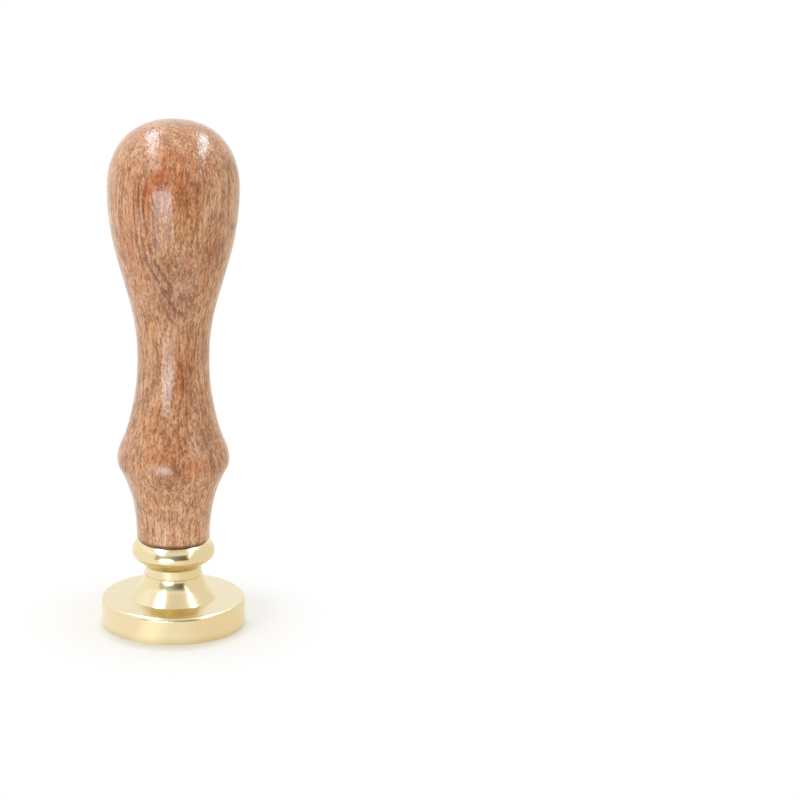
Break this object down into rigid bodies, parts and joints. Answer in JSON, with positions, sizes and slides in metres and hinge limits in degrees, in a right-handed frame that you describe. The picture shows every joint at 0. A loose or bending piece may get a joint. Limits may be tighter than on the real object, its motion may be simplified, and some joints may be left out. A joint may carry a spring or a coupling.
{
  "type": "wax seal stamp",
  "caption": "Hand stamp for sealing wax: a turned wooden handle with a domed knob, screwed by a hidden stud onto a turned brass head with an engraved round die.",
  "frame": {"origin": "centre of the die face, where the stamp stands", "axes": "+Z along the turning axis from the die to the knob; X and Y are alike"},
  "size_m": [0.025, 0.025, 0.089],
  "materials": {
    "brass": "polished, with fine turning marks",
    "steel": "plain zinc-plated thread",
    "wood": "turned hardwood under clear gloss lacquer"
  },
  "bodies": {
    "head": {"brass_head": "brass"},
    "stud": {"threaded_stud": "steel"},
    "handle": {"wooden_handle": "wood"}
  },
  "joints": [
    {"name": "thread_advance", "type": "slide", "parent": "head", "child": "stud", "axis": [0, 0, 1], "range_m": [0, 0.008]},
    {"name": "handle_turn", "type": "hinge", "parent": "stud", "child": "handle", "pos_m": [0, 0, 0.0153], "axis": [0, 0, 1], "range_deg": [0, 2880]}
  ],
  "couplings": [
    {"joint": "thread_advance", "follows": "handle_turn", "m_per_rad": 0.00015915}
  ]
}
